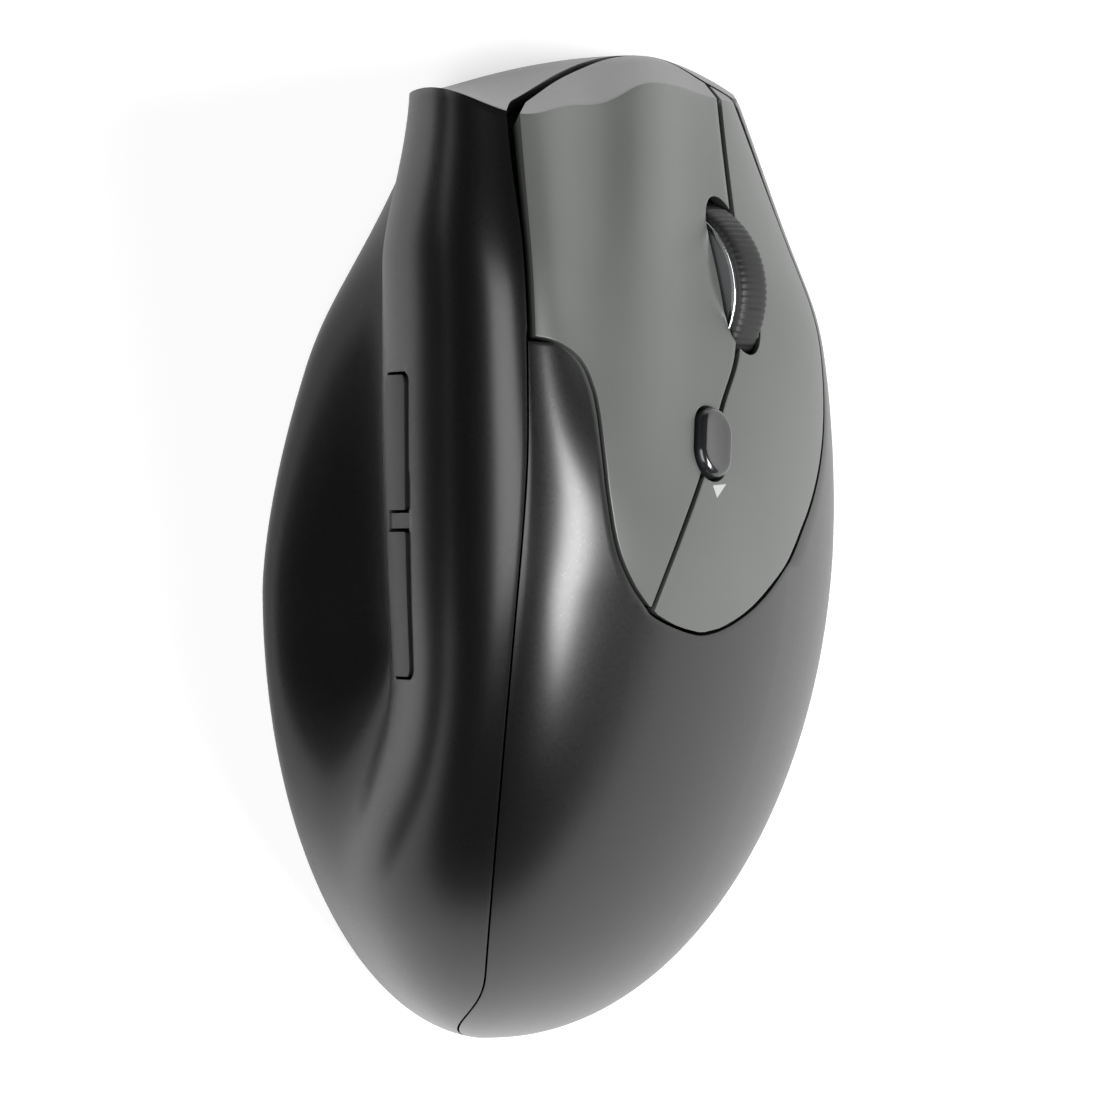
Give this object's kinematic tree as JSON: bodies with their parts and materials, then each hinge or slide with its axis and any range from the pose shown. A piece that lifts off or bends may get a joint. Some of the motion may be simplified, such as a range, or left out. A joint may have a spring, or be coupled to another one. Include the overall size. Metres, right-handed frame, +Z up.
{
  "type": "vertical mouse",
  "caption": "Cordless right-handed vertical mouse with black shells, grey finger buttons, scroll wheel, oval button and thumb keys.",
  "frame": {"origin": "on the desk, under the middle of the body's length and width", "axes": "+Y toward the nose, +X toward the finger side, +Z up from the desk"},
  "size_m": [0.0699, 0.12, 0.0661],
  "materials": {
    "shell_black": "satin, fine grain",
    "base_black": "fine matt",
    "button_grey": "satin paint",
    "thumb_key_black": "satin",
    "oval_black": "gloss",
    "tyre_rubber": "matt, cross ribbed",
    "hub_grey": "satin",
    "ring_chrome": "polished",
    "steel": "plain",
    "frame_plastic": "moulded",
    "board_green": "solder mask",
    "switch_black": "moulded",
    "plunger_white": "moulded",
    "plunger_brass": "plain",
    "diode_clear": "clear cast",
    "chip_black": "moulded",
    "lens_clear": "polished",
    "lamp_red": "clear cast",
    "can_blue": "sleeved",
    "switch_grey": "moulded",
    "cell_wrap": "plain wrap",
    "foot_black": "slick",
    "cable_flat": "flat film"
  },
  "bodies": {
    "case": {"thumb_shell": "shell_black", "palm_shell": "shell_black", "base_plate": "base_black", "pivot_pin": "steel", "base_screws": "steel", "board_screws": "steel", "battery_contacts": "steel", "button_frame": "frame_plastic", "button_board": "board_green", "side_board": "board_green", "main_board": "board_green", "left_switch": "switch_black", "right_switch": "switch_black", "wheel_switch": "switch_black", "oval_switch": "switch_black", "forward_switch": "switch_black", "back_switch": "switch_black", "wheel_emitter": "diode_clear", "sensor_chip": "chip_black", "control_chip": "chip_black", "wheel_receiver": "chip_black", "sensor_lens": "lens_clear", "sensor_lamp": "lamp_red", "capacitor": "can_blue", "power_switch": "switch_grey", "battery": "cell_wrap", "glide_feet": "foot_black", "button_cable": "cable_flat", "side_cable": "cable_flat"},
    "left_button": {"left_button": "button_grey"},
    "right_button": {"right_button": "button_grey"},
    "forward_button": {"forward_button": "thumb_key_black"},
    "back_button": {"back_button": "thumb_key_black"},
    "oval_button": {"oval_button": "oval_black"},
    "wheel_carrier": {"wheel_carrier": "frame_plastic"},
    "wheel": {"wheel_tyre": "tyre_rubber", "wheel_hub": "hub_grey", "wheel_rings": "ring_chrome", "wheel_axle": "steel"},
    "left_plunger": {"left_plunger": "plunger_white"},
    "right_plunger": {"right_plunger": "plunger_white"},
    "wheel_plunger": {"wheel_plunger": "plunger_brass"},
    "oval_plunger": {"oval_plunger": "plunger_brass"},
    "forward_plunger": {"forward_plunger": "plunger_brass"},
    "back_plunger": {"back_plunger": "plunger_brass"},
    "power_slider": {"power_slider": "switch_grey"},
    "battery_door": {"battery_door": "base_black"}
  },
  "joints": [
    {"name": "left_press", "type": "hinge", "parent": "case", "child": "left_button", "pos_m": [0.01564, 0.00273, 0.04205], "axis": [-0.6157, 0, 0.788], "range_deg": [0, 0.5], "stiffness_Nm_per_rad": 2, "springref_deg": -0.23},
    {"name": "right_press", "type": "hinge", "parent": "case", "child": "right_button", "pos_m": [0.01564, 0.00273, 0.04205], "axis": [-0.6157, 0, 0.788], "range_deg": [0, 0.5], "stiffness_Nm_per_rad": 2, "springref_deg": -0.23},
    {"name": "wheel_click", "type": "slide", "parent": "case", "child": "wheel_carrier", "axis": [-0.7678, -0.225, -0.5999], "range_m": [0, 0.0005], "stiffness_N_per_m": 1500, "springref_m": -0.0003},
    {"name": "wheel_spin", "type": "hinge", "parent": "wheel_carrier", "child": "wheel", "pos_m": [0.01607, 0.03067, 0.02868], "axis": [0.6157, 0, -0.788], "continuous": true},
    {"name": "oval_press", "type": "slide", "parent": "case", "child": "oval_button", "axis": [-0.7678, -0.225, -0.5999], "range_m": [0, 0.0005], "stiffness_N_per_m": 1200, "springref_m": -0.0002},
    {"name": "forward_press", "type": "slide", "parent": "case", "child": "forward_button", "axis": [0.9643, 0, -0.2647], "range_m": [0, 0.0005], "stiffness_N_per_m": 1200, "springref_m": -0.0002},
    {"name": "back_press", "type": "slide", "parent": "case", "child": "back_button", "axis": [0.9643, 0, -0.2647], "range_m": [0, 0.0005], "stiffness_N_per_m": 1200, "springref_m": -0.0002},
    {"name": "left_plunge", "type": "slide", "parent": "case", "child": "left_plunger", "axis": [-0.7678, -0.225, -0.5999], "range_m": [0, 0.0004]},
    {"name": "right_plunge", "type": "slide", "parent": "case", "child": "right_plunger", "axis": [-0.7678, -0.225, -0.5999], "range_m": [0, 0.0004]},
    {"name": "wheel_plunge", "type": "slide", "parent": "case", "child": "wheel_plunger", "axis": [-0.7678, -0.225, -0.5999], "range_m": [0, 0.0005]},
    {"name": "oval_plunge", "type": "slide", "parent": "case", "child": "oval_plunger", "axis": [-0.7678, -0.225, -0.5999], "range_m": [0, 0.0005]},
    {"name": "forward_plunge", "type": "slide", "parent": "case", "child": "forward_plunger", "axis": [0.9643, 0, -0.2647], "range_m": [0, 0.0005]},
    {"name": "back_plunge", "type": "slide", "parent": "case", "child": "back_plunger", "axis": [0.9643, 0, -0.2647], "range_m": [0, 0.0005]},
    {"name": "power_slide", "type": "slide", "parent": "case", "child": "power_slider", "axis": [1, 0, 0], "range_m": [0, 0.003]},
    {"name": "door_swing", "type": "hinge", "parent": "case", "child": "battery_door", "pos_m": [-0.003, 0.00415, 0.0016], "axis": [1, 0, 0], "range_deg": [0, 80]}
  ],
  "couplings": [
    {"joint": "left_plunge", "follows": "left_press", "m_per_rad": 0.035},
    {"joint": "right_plunge", "follows": "right_press", "m_per_rad": 0.03},
    {"joint": "wheel_plunge", "follows": "wheel_click", "ratio": 1},
    {"joint": "oval_plunge", "follows": "oval_press", "ratio": 1},
    {"joint": "forward_plunge", "follows": "forward_press", "ratio": 1},
    {"joint": "back_plunge", "follows": "back_press", "ratio": 1}
  ]
}
